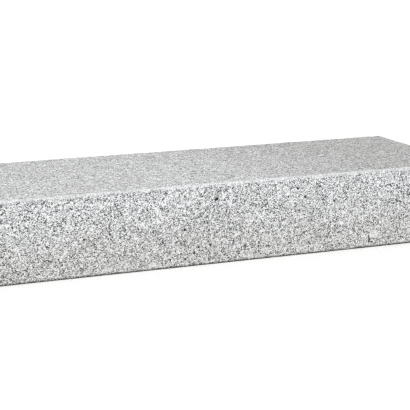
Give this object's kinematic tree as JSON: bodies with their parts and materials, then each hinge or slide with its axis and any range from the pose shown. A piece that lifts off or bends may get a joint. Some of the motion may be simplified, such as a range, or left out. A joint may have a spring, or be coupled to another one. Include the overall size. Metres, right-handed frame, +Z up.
{
  "type": "granite step block",
  "caption": "Solid rectangular block of light grey granite with chamfered edges, laid as a step of an outdoor stair.",
  "frame": {"origin": "middle of the bed, the flat face that the block rests on", "axes": "+X along the step's length, -Y out of the riser (the front face), +Z up out of the tread"},
  "size_m": [1, 0.35, 0.15],
  "materials": {
    "granite": "fine bush-hammered, matt, with bruised pale edges"
  },
  "bodies": {
    "root": {"step_block": "granite"}
  },
  "joints": []
}
